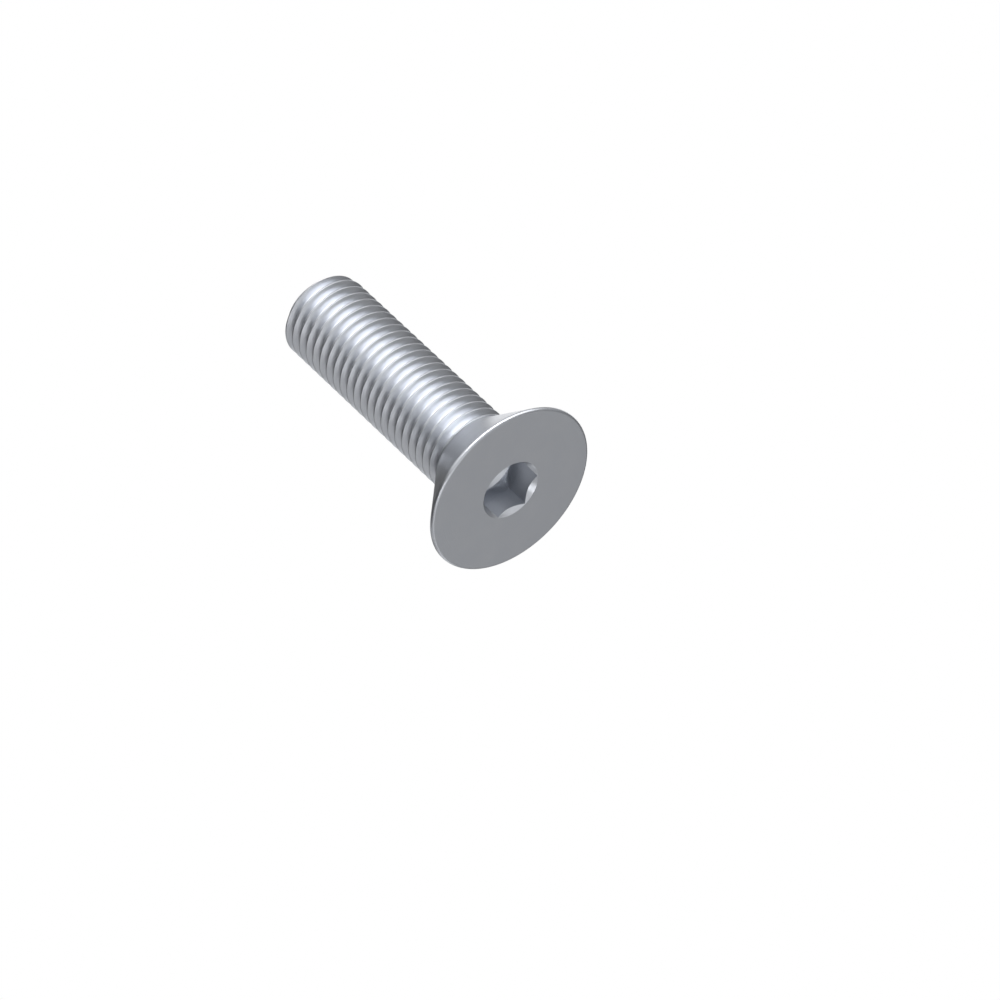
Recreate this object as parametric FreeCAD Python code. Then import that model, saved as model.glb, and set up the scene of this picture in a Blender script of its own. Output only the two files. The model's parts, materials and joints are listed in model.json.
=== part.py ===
import FreeCAD, Part
import math
import os

from FreeCAD import Vector

# A countersunk bolt with a hexagon socket: one piece of steel, forged, turned and threaded.
# It stands on its head. The origin is the centre of the flat head face, and +Z runs up the shank to the tip.
# The hexagon has two corners on the Y axis and two flats across the X axis.
# The shank has the outside diameter of its fine thread. The turns are a surface detail and aren't cut here.
# Sizes are in millimetres and degrees.

# Overall sizes
bolt_length = 35.0
shank_diameter = 10.0
head_diameter = 20.0

# Head: the rounded edge of the face, a thin cylindrical land, and the cone that seats in the countersink
face_edge_radius = 0.3
rim_land_height = 0.1
head_cone_angle = 80.0

# Shank: the fillet where it leaves the cone, and the chamfer that leads it into its hole
neck_fillet_radius = 0.3
tip_chamfer = 1.05
tip_chamfer_angle = 45.0

# Socket: its width across the flats, the depth of its walls, the chamfer at its mouth and the drilled floor
socket_width = 6.0
socket_depth = 4.1
socket_mouth_diameter = 7.0
socket_mouth_angle = 90.0
socket_drill_diameter = 5.8
socket_drill_angle = 120.0

# Each cutting tool starts this far outside the face, so that no skin is left over its cut
tool_overrun = 1.0

UP = Vector(0, 0, 1)
FACE_CENTRE = Vector(0, 0, 0)
HEXAGON_SIDES = 6


def section_point(radius, height):
    """A point of the half section, in the plane of X and Z."""
    return Vector(radius, 0, height)


def cone_height(radius_change, included_angle):
    """The height over which a cone of that included angle changes its radius by so much."""
    return radius_change / math.tan(math.radians(included_angle / 2))


def corner_arc(before, corner, after, radius):
    """The arc that rounds the corner of the path from before, by corner, to after."""
    to_before = (before - corner).normalize()
    to_after = (after - corner).normalize()
    half_angle = to_before.getAngle(to_after) / 2
    tangent_length = radius / math.tan(half_angle)
    towards_centre = (to_before + to_after).normalize()
    middle = corner + towards_centre * (radius / math.sin(half_angle) - radius)
    return Part.Arc(corner + to_before * tangent_length, middle, corner + to_after * tangent_length)


def rounded_outline(corners):
    """A closed outline. Each corner is a point and the radius that rounds it, or 0 where it is sharp."""
    edges = []
    spans = []
    for index, (corner, radius) in enumerate(corners):
        if radius == 0:
            spans.append((corner, corner))
            continue
        before = corners[index - 1][0]
        after = corners[(index + 1) % len(corners)][0]
        arc = corner_arc(before, corner, after, radius)
        edges.append(arc.toShape())
        spans.append((arc.StartPoint, arc.EndPoint))
    for index, (start, end) in enumerate(spans):
        next_start = spans[(index + 1) % len(spans)][0]
        edges.append(Part.makeLine(end, next_start))
    return Part.Wire(Part.__sortEdges__(edges))


def turned_blank():
    """Head, cone and shank as one turned body, before the socket is made."""
    head_radius = head_diameter / 2
    shank_radius = shank_diameter / 2
    cone_foot = face_edge_radius + rim_land_height
    cone_top = cone_foot + cone_height(head_radius - shank_radius, head_cone_angle)
    tip_inset = tip_chamfer * math.tan(math.radians(tip_chamfer_angle))
    outline = rounded_outline(
        [
            (section_point(0, 0), 0),
            (section_point(head_radius, 0), face_edge_radius),
            (section_point(head_radius, cone_foot), 0),
            (section_point(shank_radius, cone_top), neck_fillet_radius),
            (section_point(shank_radius, bolt_length - tip_chamfer), 0),
            (section_point(shank_radius - tip_inset, bolt_length), 0),
            (section_point(0, bolt_length), 0),
        ]
    )
    return Part.Face(outline).revolve(FACE_CENTRE, UP, 360)


def hexagon_walls():
    """The six-sided space of the key, from outside the face down to the end of the walls."""
    corner_radius = socket_width / 2 / math.cos(math.pi / HEXAGON_SIDES)
    corners = []
    for side in range(HEXAGON_SIDES):
        turn = math.pi / 2 + side * 2 * math.pi / HEXAGON_SIDES
        corners.append(Vector(corner_radius * math.cos(turn), corner_radius * math.sin(turn), -tool_overrun))
    hexagon = Part.Face(Part.makePolygon(corners + corners[:1]))
    return hexagon.extrude(UP * (socket_depth + tool_overrun))


def mouth_chamfer():
    """The cone that opens the mouth. Where it meets the six walls, it leaves a crescent on each."""
    mouth_radius = socket_mouth_diameter / 2
    growth = tool_overrun * math.tan(math.radians(socket_mouth_angle / 2))
    depth = cone_height(mouth_radius, socket_mouth_angle)
    return Part.makeCone(mouth_radius + growth, 0, depth + tool_overrun, Vector(0, 0, -tool_overrun), UP)


def drilled_floor():
    """The point that the drill leaves in the middle of the socket's floor."""
    drill_radius = socket_drill_diameter / 2
    bore = Part.makeCylinder(drill_radius, socket_depth)
    point_height = cone_height(drill_radius, socket_drill_angle)
    point = Part.makeCone(drill_radius, 0, point_height, UP * socket_depth, UP)
    return bore.fuse(point)


def countersunk_bolt():
    """The whole bolt: the turned body less the socket."""
    body = turned_blank()
    for tool in (hexagon_walls(), drilled_floor(), mouth_chamfer()):
        body = body.cut(tool)
    return body.removeSplitter()


os.makedirs("parts", exist_ok=True)
bolt = countersunk_bolt()
bolt.exportStep("parts/countersunk_bolt.step")
print("countersunk_bolt:", len(bolt.Solids), "solid,", round(bolt.Volume, 2), "mm3, valid", bolt.isValid())
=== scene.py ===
import json
import math

import bmesh
import bpy
from mathutils import Matrix, Vector


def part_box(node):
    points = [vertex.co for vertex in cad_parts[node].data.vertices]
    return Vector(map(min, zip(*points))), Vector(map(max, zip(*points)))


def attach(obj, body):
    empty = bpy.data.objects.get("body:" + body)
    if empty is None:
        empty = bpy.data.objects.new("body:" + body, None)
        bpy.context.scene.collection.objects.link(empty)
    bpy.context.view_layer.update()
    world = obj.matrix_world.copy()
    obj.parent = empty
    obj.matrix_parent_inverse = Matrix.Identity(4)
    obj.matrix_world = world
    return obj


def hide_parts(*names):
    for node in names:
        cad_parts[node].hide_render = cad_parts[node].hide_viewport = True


# The countersunk bolt with its thread, its finish, a studio and the photograph's camera.
# It stands on its head at the origin, with +Z up the shank to the tip. Lengths are in metres.

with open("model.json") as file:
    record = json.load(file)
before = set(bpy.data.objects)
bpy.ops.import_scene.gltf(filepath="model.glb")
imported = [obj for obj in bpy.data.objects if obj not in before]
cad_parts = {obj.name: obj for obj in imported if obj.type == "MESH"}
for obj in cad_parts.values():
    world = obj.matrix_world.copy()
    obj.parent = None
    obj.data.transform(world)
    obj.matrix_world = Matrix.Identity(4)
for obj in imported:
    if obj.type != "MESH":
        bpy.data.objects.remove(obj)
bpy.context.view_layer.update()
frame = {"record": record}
mounts = {mount["name"]: mount for mount in frame["record"]["mounts"]}
MM = 0.001

# Sizes read from the frame
bolt_far_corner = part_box("countersunk_bolt")[1]
bolt_length = bolt_far_corner[2]
head_radius = bolt_far_corner[0]
shank_radius = mounts["thread"]["dims"]["r_mm"] * MM

# Head: the same section as the solid
face_edge_radius = 0.3 * MM
rim_land_height = 0.1 * MM
head_cone_angle = math.radians(80)
neck_fillet_radius = 0.3 * MM

# Heights that follow: the cone's two ends, and the end of the fillet, where the thread begins
cone_foot = face_edge_radius + rim_land_height
cone_top = cone_foot + (head_radius - shank_radius) / math.tan(head_cone_angle / 2)
fillet_reach = neck_fillet_radius * math.tan(head_cone_angle / 4)
neck_top = cone_top + fillet_reach

# Tip: its chamfer, at 45 degrees
tip_chamfer = 1.05 * MM

# Socket: its mouth is chamfered at 45 degrees
socket_width = 6.0 * MM
socket_depth = 4.1 * MM
socket_mouth_radius = 3.5 * MM
socket_drill_radius = 2.9 * MM
socket_drill_angle = math.radians(120)

# Thread: metric, right-hand, with a round root, and a crest that is flat over an eighth of the pitch
thread_pitch = 1.25 * MM
thread_half_angle = math.radians(30)
thread_crest_flat = thread_pitch / 8
thread_corner_radius = 0.06 * MM
thread_root_radius = 0.18 * MM

# The height of the middle of a groove, on the +X side
thread_start = 6.23 * MM

# Finish: the plating's two tones and its range of roughness
dark_plating = (0.54, 0.565, 0.615, 1)
light_plating = (0.62, 0.635, 0.665, 1)
lowest_roughness = 0.28
highest_roughness = 0.38

# The sizes of the plating's patterns and of the tools' marks, and the depth of the marks
plating_cloud_size = 3 * MM
plating_grain_size = 0.12 * MM
turning_mark_size = 0.3 * MM
rolling_mark_size = 0.2 * MM
mark_depth = 0.01 * MM

# How much the coarser of two patterns counts in their mixture, and how deep the grain is beside the marks
coarse_share = 0.6
grain_depth_share = 0.15

# Turning rings follow the height plus this times the radius, so that they cross the face as well as the cone
ring_radius_weight = 1.7

# How finely round surfaces are divided. COLUMNS is a multiple of 12, so each corner of the socket has one.
COLUMNS = 192
ARC_STEPS = 6
CONE_STEPS = 6
DISC_STEPS = 3
ROOT_STEPS = 3
CORNER_STEPS = 3

# How closely the thread's ends are found, what is welded, and the angle from which an edge is sharp
CROSSING_HALVINGS = 24
WELD_DISTANCE = 0.5e-6
SHARP_ANGLE = math.radians(28)

# The floor: its colour, and its fade into the white room
floor_colour = (0.8, 0.8, 0.8, 1)
floor_fade_start = 0.08
floor_fade_end = 0.4

# The studio is arranged round the middle of the bolt. The strips stand in front of the cards.
STUDIO_CENTRE = Vector((0, 0, bolt_length / 2))
LAMP_DISTANCE = 0.6
STRIP_DISTANCE = 0.8
CARD_DISTANCE = 0.9
CARD_STEPS = 16

# The white room: how bright it looks, and how much of its light falls on the floor
room_brightness = 1.0
room_light = 0.5


def column_angle(column):
    """The angle of a column of points, from the +X side."""
    return 2 * math.pi * column / COLUMNS


def arc_section(centre_radius, centre_height, arc_radius, start, end):
    """Points (radius, height) on an arc of the section, from angle start to angle end."""
    points = []
    for step in range(ARC_STEPS + 1):
        turn = start + (end - start) * step / ARC_STEPS
        radius = centre_radius + arc_radius * math.cos(turn)
        height = centre_height + arc_radius * math.sin(turn)
        points.append((radius, height))
    return points


def turned_row(radius, height):
    """A level circle, as the points of its columns."""
    return [(radius, height)] * (COLUMNS + 1)


def hexagon_radius(angle):
    """How far the hexagon's wall is from the axis at that angle. Two corners are on the Y axis."""
    flat_turn = math.pi / 3
    from_flat = (angle + flat_turn / 2) % flat_turn - flat_turn / 2
    return socket_width / 2 / math.cos(from_flat)


def socket_rows():
    """The socket, from the point of the drilled floor out to the circle of its mouth."""
    point_height = socket_drill_radius / math.tan(socket_drill_angle / 2)
    wall = [hexagon_radius(column_angle(column)) for column in range(COLUMNS + 1)]
    rows = []
    for step in range(DISC_STEPS + 1):
        share = step / DISC_STEPS
        rows.append(turned_row(socket_drill_radius * share, socket_depth + point_height * (1 - share)))
    rows.append([(radius, socket_depth) for radius in wall])
    rows.append([(radius, socket_mouth_radius - radius) for radius in wall])
    rows.append(turned_row(socket_mouth_radius, 0))
    return rows


def head_rows():
    """The face, its rounded edge, the land, the cone and the fillet at the neck."""
    cone_slope = head_cone_angle / 2
    face_radius = head_radius - face_edge_radius
    section = []
    for step in range(1, DISC_STEPS):
        section.append((socket_mouth_radius + (face_radius - socket_mouth_radius) * step / DISC_STEPS, 0))
    section += arc_section(face_radius, face_edge_radius, face_edge_radius, -math.pi / 2, 0)
    section.append((head_radius, cone_foot))
    fillet_foot = cone_top - fillet_reach * math.cos(cone_slope)
    for step in range(1, CONE_STEPS):
        height = cone_foot + (fillet_foot - cone_foot) * step / CONE_STEPS
        section.append((head_radius - (height - cone_foot) * math.tan(cone_slope), height))
    centre_radius = shank_radius + neck_fillet_radius
    section += arc_section(centre_radius, neck_top, neck_fillet_radius, math.pi + cone_slope, math.pi)
    return [turned_row(radius, height) for radius, height in section]


# The thread's section over half a pitch: a round root, a straight flank, a round corner and half the crest
flank_slope = math.pi / 2 - thread_half_angle
root_reach = thread_root_radius * math.sin(flank_slope)
corner_drop = thread_corner_radius * (1 - math.cos(flank_slope))
corner_start = thread_crest_flat / 2 - thread_corner_radius * math.tan(flank_slope / 2)
corner_end = corner_start + thread_corner_radius * math.sin(flank_slope)
flank_depth = (thread_pitch / 2 - root_reach - corner_end) * math.tan(flank_slope)
thread_depth = corner_drop + flank_depth + thread_root_radius * (1 - math.cos(flank_slope))


def groove_depth(offset):
    """How deep the thread is at that distance along the axis from the middle of its groove."""
    offset = abs(offset)
    if offset <= root_reach:
        return thread_depth - thread_root_radius + math.sqrt(thread_root_radius**2 - offset**2)
    from_crest = thread_pitch / 2 - offset
    if from_crest <= corner_start:
        return 0
    if from_crest <= corner_end:
        return thread_corner_radius - math.sqrt(thread_corner_radius**2 - (from_crest - corner_start) ** 2)
    return corner_drop + (from_crest - corner_end) * math.tan(flank_slope)


def thread_radius(angle, height):
    """The radius of the endless thread, whose groove rises by one pitch for each turn."""
    turns = (height - thread_start) / thread_pitch - angle / (2 * math.pi)
    return shank_radius - groove_depth((turns - round(turns)) * thread_pitch)


def runout_radius(height):
    """At the neck the groove gets no deeper than this, where the rolling die ran out."""
    return shank_radius - max(height - neck_top, 0)


def chamfer_radius(height):
    """At the tip nothing stands out further than this."""
    return shank_radius - max(height - (bolt_length - tip_chamfer), 0)


def shank_radius_at(angle, height):
    """The radius of the threaded shank between its two ends."""
    return min(max(thread_radius(angle, height), runout_radius(height)), chamfer_radius(height))


def crossing_height(angle, low, high, limit):
    """The height between low and high where the thread crosses that limit, or None where it doesn't."""
    starts_outside = thread_radius(angle, low) > limit(low)
    if (thread_radius(angle, high) > limit(high)) == starts_outside:
        return None
    for _ in range(CROSSING_HALVINGS):
        middle = (low + high) / 2
        if (thread_radius(angle, middle) > limit(middle)) == starts_outside:
            low = middle
        else:
            high = middle
    return low


def pitch_shares():
    """Where the rows lie within one pitch from a groove's middle: close on the arcs, none on the flanks."""
    offsets = []
    for step in range(-ROOT_STEPS, ROOT_STEPS + 1):
        offsets.append(thread_root_radius * math.sin(flank_slope * step / ROOT_STEPS))
    for step in range(CORNER_STEPS + 1):
        from_crest = corner_start + thread_corner_radius * math.sin(flank_slope * step / CORNER_STEPS)
        offsets += [thread_pitch / 2 - from_crest, thread_pitch / 2 + from_crest]
    return sorted(offset / thread_pitch for offset in offsets)


def thread_column(angle):
    """The heights of one column's points. One is moved to each place where the thread is cut."""
    first_turn = math.floor((neck_top - thread_start) / thread_pitch) - 1
    last_turn = math.ceil((bolt_length - thread_start) / thread_pitch)
    turns = [turn + share for turn in range(first_turn, last_turn + 1) for share in pitch_shares()]
    heights = [thread_start + thread_pitch * (turn + angle / (2 * math.pi)) for turn in turns]
    heights = [min(max(height, neck_top), bolt_length) for height in heights]
    for lower in range(len(heights) - 1):
        for limit in (runout_radius, chamfer_radius):
            crossing = crossing_height(angle, heights[lower], heights[lower + 1], limit)
            if crossing is None:
                continue
            upper_is_nearer = heights[lower + 1] - crossing < crossing - heights[lower]
            heights[lower + upper_is_nearer] = crossing
    return heights


def thread_rows():
    """Rows that follow the helix from the neck to the tip, so that its crest and root are clean lines."""
    columns = []
    for column in range(COLUMNS + 1):
        angle = column_angle(column)
        columns.append([(shank_radius_at(angle, height), height) for height in thread_column(angle)])
    return list(zip(*columns))


def tip_rows():
    """The flat end."""
    end_radius = shank_radius - tip_chamfer
    return [turned_row(end_radius * step / DISC_STEPS, bolt_length) for step in range(DISC_STEPS, -1, -1)]


def add_faces(mesh, grid):
    """Fills a grid of vertices, given as lines of equal length."""
    for line, following in zip(grid, grid[1:]):
        for place in range(len(line) - 1):
            mesh.faces.new((line[place], line[place + 1], following[place + 1], following[place]))


def add_rows(mesh, rows):
    """The surface through the rows. The last column repeats the first, or for a helix the next turn's."""
    grid = []
    for row in rows:
        verts = []
        for column, (radius, height) in enumerate(row):
            angle = column_angle(column)
            verts.append(mesh.verts.new((radius * math.cos(angle), radius * math.sin(angle), height)))
        grid.append(verts)
    add_faces(mesh, grid)


def add_object(name, mesh, material):
    """Puts a finished mesh into the scene, with its material."""
    data = bpy.data.meshes.new(name)
    mesh.to_mesh(data)
    mesh.free()
    data.materials.append(material)
    thing = bpy.data.objects.new(name, data)
    bpy.context.scene.collection.objects.link(thing)
    return thing


def make_bolt():
    """The whole bolt as one closed mesh."""
    mesh = bmesh.new()
    add_rows(mesh, socket_rows() + head_rows())
    add_rows(mesh, [turned_row(shank_radius, neck_top)] + thread_rows() + tip_rows())
    bmesh.ops.remove_doubles(mesh, verts=mesh.verts, dist=WELD_DISTANCE)
    bmesh.ops.dissolve_degenerate(mesh, dist=WELD_DISTANCE, edges=mesh.edges)
    bmesh.ops.recalc_face_normals(mesh, faces=mesh.faces)
    for face in mesh.faces:
        face.smooth = True
    for edge in mesh.edges:
        edge.smooth = edge.calc_face_angle(0) < SHARP_ANGLE
    bolt = add_object("countersunk_bolt_dressed", mesh, zinc_plated_steel())
    weighted = bolt.modifiers.new("flat_flanks", "WEIGHTED_NORMAL")
    weighted.keep_sharp = True
    return bolt


class Graph:
    """The nodes of a material or of the world, with short ways to add one and to link it."""

    def __init__(self, owner):
        owner.use_nodes = True
        self.nodes = owner.node_tree.nodes
        self.links = owner.node_tree.links

    def feed(self, value, socket):
        """Gives a socket either a number or the output of another node."""
        if isinstance(value, bpy.types.NodeSocket):
            self.links.new(value, socket)
        else:
            socket.default_value = value

    def math(self, operation, *values):
        node = self.nodes.new("ShaderNodeMath")
        node.operation = operation
        for value, socket in zip(values, node.inputs):
            self.feed(value, socket)
        return node.outputs["Value"]

    def remap(self, value, low, high):
        """Takes a value of 0 to 1 to one of low to high."""
        node = self.nodes.new("ShaderNodeMapRange")
        self.feed(value, node.inputs["Value"])
        node.inputs["To Min"].default_value = low
        node.inputs["To Max"].default_value = high
        return node.outputs["Result"]

    def mixture(self, coarse, fine):
        """Two patterns as one, in which the coarse one counts for more."""
        coarse_part = self.math("MULTIPLY", coarse, coarse_share)
        fine_part = self.math("MULTIPLY", fine, 1 - coarse_share)
        return self.math("ADD", coarse_part, fine_part)

    def noise(self, place, size, detail):
        """Noise in space, whose coarsest grains have that size."""
        node = self.nodes.new("ShaderNodeTexNoise")
        self.feed(place, node.inputs["Vector"])
        node.inputs["Scale"].default_value = 1 / size
        node.inputs["Detail"].default_value = detail
        return node.outputs["Fac"]

    def lines(self, distance, spacing, detail):
        """Lines of uneven strength across that distance."""
        node = self.nodes.new("ShaderNodeTexNoise")
        node.noise_dimensions = "1D"
        self.feed(distance, node.inputs["W"])
        node.inputs["Scale"].default_value = 1 / spacing
        node.inputs["Detail"].default_value = detail
        node.inputs["Roughness"].default_value = 0.7
        return node.outputs["Fac"]


def tool_marks(graph, place):
    """Fine marks of the tools: rings from turning, and lines along the helix where the thread was rolled."""
    parts = graph.nodes.new("ShaderNodeSeparateXYZ")
    graph.feed(place, parts.inputs["Vector"])
    x, y, z = parts.outputs
    radius_squared = graph.math("ADD", graph.math("MULTIPLY", x, x), graph.math("MULTIPLY", y, y))
    radius = graph.math("SQRT", radius_squared)
    across_rings = graph.math("MULTIPLY_ADD", radius, ring_radius_weight, z)
    rings = graph.lines(across_rings, turning_mark_size, detail=2)

    turns_up = graph.math("DIVIDE", graph.math("SUBTRACT", z, thread_start), thread_pitch)
    share_round = graph.math("DIVIDE", graph.math("ARCTAN2", y, x), 2 * math.pi)
    phase = graph.math("FRACT", graph.math("SUBTRACT", turns_up, share_round))
    crest_share = graph.math("ABSOLUTE", graph.math("SUBTRACT", phase, 0.5))
    from_crest = graph.math("MULTIPLY", crest_share, thread_pitch)
    rolled = graph.lines(from_crest, rolling_mark_size, detail=1)

    above_neck = graph.math("GREATER_THAN", z, neck_top)
    below_tip = graph.math("LESS_THAN", z, bolt_length - tip_chamfer)
    blend = graph.nodes.new("ShaderNodeMix")
    graph.feed(graph.math("MULTIPLY", above_neck, below_tip), blend.inputs["Factor"])
    graph.feed(rings, blend.inputs["A"])
    graph.feed(rolled, blend.inputs["B"])
    return blend.outputs["Result"]


def zinc_plated_steel():
    """Satin zinc plating over steel: a fine grain, faint cloudy patches and the marks of the tools."""
    material = bpy.data.materials.new("zinc_plated_steel")
    graph = Graph(material)
    shader = graph.nodes["Principled BSDF"]
    shader.inputs["Metallic"].default_value = 1.0
    place = graph.nodes.new("ShaderNodeTexCoord").outputs["Object"]
    marks = tool_marks(graph, place)
    grain = graph.noise(place, plating_grain_size, detail=1)
    clouds = graph.noise(place, plating_cloud_size, detail=2)

    tone = graph.nodes.new("ShaderNodeMix")
    tone.data_type = "RGBA"
    graph.feed(graph.mixture(clouds, grain), tone.inputs["Factor"])
    tone.inputs["A"].default_value = dark_plating
    tone.inputs["B"].default_value = light_plating
    graph.feed(tone.outputs["Result"], shader.inputs["Base Color"])

    roughness = graph.remap(graph.mixture(marks, grain), lowest_roughness, highest_roughness)
    graph.feed(roughness, shader.inputs["Roughness"])

    relief = graph.nodes.new("ShaderNodeBump")
    relief.inputs["Distance"].default_value = mark_depth
    height = graph.math("ADD", marks, graph.math("MULTIPLY", grain, grain_depth_share))
    graph.feed(height, relief.inputs["Height"])
    graph.feed(relief.outputs["Normal"], shader.inputs["Normal"])
    return material


def pale_floor():
    """A pale matt floor that shows only from above, and fades into the white room away from the bolt."""
    material = bpy.data.materials.new("pale_floor")
    graph = Graph(material)
    graph.nodes.clear()
    geometry = graph.nodes.new("ShaderNodeNewGeometry")
    place = graph.nodes.new("ShaderNodeTexCoord")
    reach = graph.nodes.new("ShaderNodeVectorMath")
    reach.operation = "LENGTH"
    graph.feed(place.outputs["Object"], reach.inputs[0])
    fade = graph.nodes.new("ShaderNodeMapRange")
    fade.interpolation_type = "SMOOTHSTEP"
    fade.inputs["From Min"].default_value = floor_fade_start
    fade.inputs["From Max"].default_value = floor_fade_end
    graph.feed(reach.outputs["Value"], fade.inputs["Value"])
    clearness = graph.math("MAXIMUM", geometry.outputs["Backfacing"], fade.outputs["Result"])

    pale = graph.nodes.new("ShaderNodeBsdfDiffuse")
    pale.inputs["Color"].default_value = floor_colour
    clear = graph.nodes.new("ShaderNodeBsdfTransparent")
    surface = graph.nodes.new("ShaderNodeMixShader")
    graph.feed(clearness, surface.inputs["Fac"])
    graph.feed(pale.outputs["BSDF"], surface.inputs[1])
    graph.feed(clear.outputs["BSDF"], surface.inputs[2])
    output = graph.nodes.new("ShaderNodeOutputMaterial")
    graph.feed(surface.outputs["Shader"], output.inputs["Surface"])
    return material


def make_floor():
    """A flat ring that faces up, whose hole is under the head's face, where the bolt stands on it."""
    mesh = bmesh.new()
    add_rows(mesh, [turned_row(floor_fade_end, 0), turned_row(head_radius - face_edge_radius, 0)])
    floor = add_object("floor", mesh, pale_floor())
    floor.visible_glossy = False


def direction(azimuth, elevation):
    """A unit vector. Azimuth 0 is -Y and 90 is +X, and elevation is above the floor, both in degrees."""
    turn = math.radians(azimuth)
    rise = math.radians(elevation)
    return Vector((math.sin(turn) * math.cos(rise), -math.cos(turn) * math.cos(rise), math.sin(rise)))


def softbox(name, azimuth, elevation, width, height, level):
    """A rectangular light, turned to the bolt. Level is the brightness of its surface, where 1 is white."""
    lamp = bpy.data.lights.new(name, "AREA")
    lamp.shape = "RECTANGLE"
    lamp.size = width
    lamp.size_y = height
    lamp.energy = level * math.pi * width * height
    lamp_object = bpy.data.objects.new(name, lamp)
    bpy.context.scene.collection.objects.link(lamp_object)
    towards = direction(azimuth, elevation)
    lamp_object.location = STUDIO_CENTRE + towards * LAMP_DISTANCE
    lamp_object.rotation_mode = "QUATERNION"
    lamp_object.rotation_quaternion = towards.to_track_quat("Z", "Y")
    lamp_object.visible_camera = False
    return lamp_object


def glow(name, level):
    """The material of a card: one even brightness, which isn't sampled as a lamp."""
    material = bpy.data.materials.new(name)
    graph = Graph(material)
    graph.nodes.clear()
    shine = graph.nodes.new("ShaderNodeEmission")
    shine.inputs["Color"].default_value = (level, level, level, 1)
    output = graph.nodes.new("ShaderNodeOutputMaterial")
    graph.feed(shine.outputs["Emission"], output.inputs["Surface"])
    material.cycles.emission_sampling = "NONE"
    return material


def curved_card(name, azimuths, elevations, level, distance=CARD_DISTANCE):
    """A card curved round the bolt, between two azimuths and two elevations. Only reflections see it."""
    mesh = bmesh.new()
    grid = []
    for across in range(CARD_STEPS + 1):
        azimuth = azimuths[0] + (azimuths[1] - azimuths[0]) * across / CARD_STEPS
        line = []
        for up in range(CARD_STEPS + 1):
            elevation = elevations[0] + (elevations[1] - elevations[0]) * up / CARD_STEPS
            line.append(mesh.verts.new(STUDIO_CENTRE + direction(azimuth, elevation) * distance))
        grid.append(line)
    add_faces(mesh, grid)
    card = add_object(name, mesh, glow(name, level))
    card.visible_camera = False
    card.visible_diffuse = False
    card.visible_shadow = False


def make_world():
    """White for the camera and in reflections, and a plain level of light for the floor."""
    world = bpy.data.worlds.new("white_room")
    bpy.context.scene.world = world
    graph = Graph(world)
    world.cycles.sampling_method = "NONE"
    background = graph.nodes["Background"]
    background.inputs["Color"].default_value = (1, 1, 1, 1)
    path = graph.nodes.new("ShaderNodeLightPath")
    seen = graph.math("MAXIMUM", path.outputs["Is Camera Ray"], path.outputs["Is Glossy Ray"])
    seen = graph.math("MAXIMUM", seen, path.outputs["Is Transmission Ray"])
    graph.feed(graph.remap(seen, room_light, room_brightness), background.inputs["Strength"])


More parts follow.
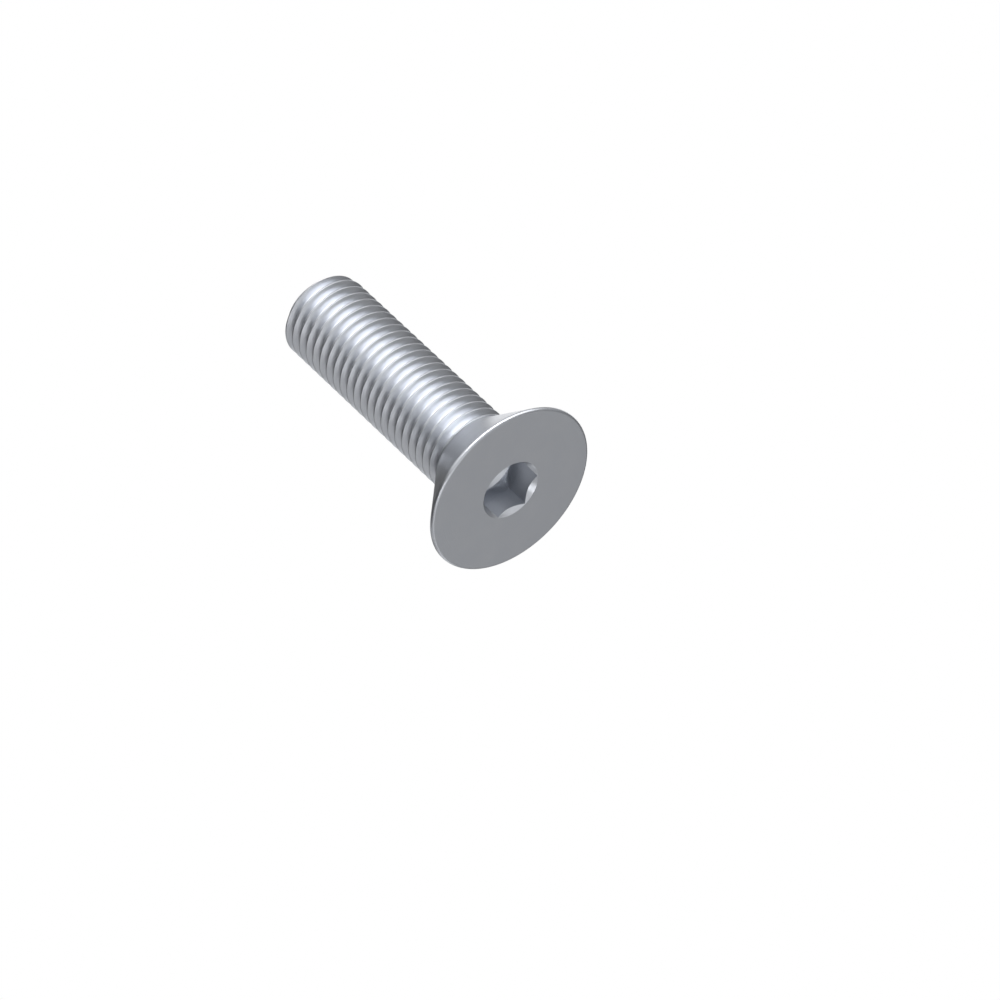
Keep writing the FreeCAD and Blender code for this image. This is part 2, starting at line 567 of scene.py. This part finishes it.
def make_studio():
    """The key light, the brighter cards beside and below it, and the darker cards that shade the rest."""
    softbox("key_light", azimuth=30, elevation=-10, width=0.69, height=0.42, level=4.0)
    overhead = softbox("overhead_light", azimuth=60, elevation=60, width=0.4, height=0.4, level=4.4)
    overhead.visible_glossy = False

    # Each card is given by its two azimuths, its two elevations and its level
    curved_card("key_left_card", (-30, 0), (-30, 20), 1.2)
    curved_card("key_upper_card", (0, 60), (5, 20), 1.2)
    curved_card("key_right_card", (60, 90), (-30, 20), 2.2)
    curved_card("upper_card", (-20, 95), (20, 70), 0.58)
    curved_card("shade_card", (-100, -30), (0, 70), 0.1)
    curved_card("low_shade_card", (-100, -30), (-30, 0), 0.12)
    curved_card("rim_card", (-120, -100), (-30, 40), 0.65)
    curved_card("far_shade_card", (-120, -100), (40, 70), 0.1)
    curved_card("low_left_strip", (-74, -55), (-52, -37), 3.4, STRIP_DISTANCE)
    curved_card("low_right_strip", (52, 78), (-54, -36), 0.6, STRIP_DISTANCE)
    curved_card("low_card", (-30, 80), (-60, -30), 0.65)
    curved_card("low_left_card", (-120, -30), (-60, -30), 0.53)
    curved_card("side_card", (90, 125), (-30, 20), 0.45)
    curved_card("far_side_card", (125, 180), (-30, 20), 0.2)
    curved_card("high_side_card", (95, 135), (20, 70), 0.35)
    curved_card("rear_card", (135, 180), (20, 62), 1.2)
    curved_card("back_card", (180, 240), (-30, 20), 0.3)
    curved_card("back_strip", (208, 226), (-30, 20), 1.0, STRIP_DISTANCE)
    curved_card("back_shade_card", (180, 240), (20, 70), 0.15)
    curved_card("under_card", (150, 210), (-60, -30), 0.475)
    curved_card("under_right_card", (80, 150), (-60, -30), 0.32)
    curved_card("under_left_card", (210, 240), (-60, -30), 0.75)
    curved_card("nadir_left_card", (-180, 0), (-90, -60), 0.97)
    curved_card("nadir_front_card", (0, 90), (-90, -60), 0.92)
    curved_card("nadir_back_card", (90, 180), (-90, -60), 0.42)
    curved_card("zenith_card", (-180, 180), (70, 90), 0.05)


def make_camera():
    """The photograph's camera, fitted to the ellipses of the head, the shank and the tip."""
    image_size = 1000
    focal_pixels = 7946
    roll = math.radians(43.2)
    tilt = math.radians(53.34)
    distance = 0.825
    rim_pixel_x = 509.09
    rim_pixel_y = 488.53

    right = Vector((math.sin(roll), math.cos(roll) * math.cos(tilt), -math.cos(roll) * math.sin(tilt)))
    down = Vector((-math.cos(roll), math.sin(roll) * math.cos(tilt), -math.sin(roll) * math.sin(tilt)))
    forward = Vector((0, math.sin(tilt), math.cos(tilt)))
    across = (rim_pixel_x - image_size / 2) / focal_pixels * distance
    below = (rim_pixel_y - image_size / 2) / focal_pixels * distance
    rim_centre = Vector((0, 0, face_edge_radius))
    place = rim_centre - right * across - down * below - forward * distance

    camera = bpy.data.cameras.new("photo_camera")
    camera.sensor_width = 36
    camera.lens = focal_pixels * camera.sensor_width / image_size
    camera.clip_start = 0.01
    camera.clip_end = 20
    camera_object = bpy.data.objects.new("photo_camera", camera)
    bpy.context.scene.collection.objects.link(camera_object)
    turn = Matrix((right, -down, -forward)).transposed()
    camera_object.matrix_world = Matrix.Translation(place) @ turn.to_4x4()
    bpy.context.scene.camera = camera_object


bolt = make_bolt()
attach(bolt, "root")
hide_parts("countersunk_bolt")

make_floor()
make_world()
make_studio()
make_camera()
bpy.context.scene.view_settings.view_transform = "Standard"
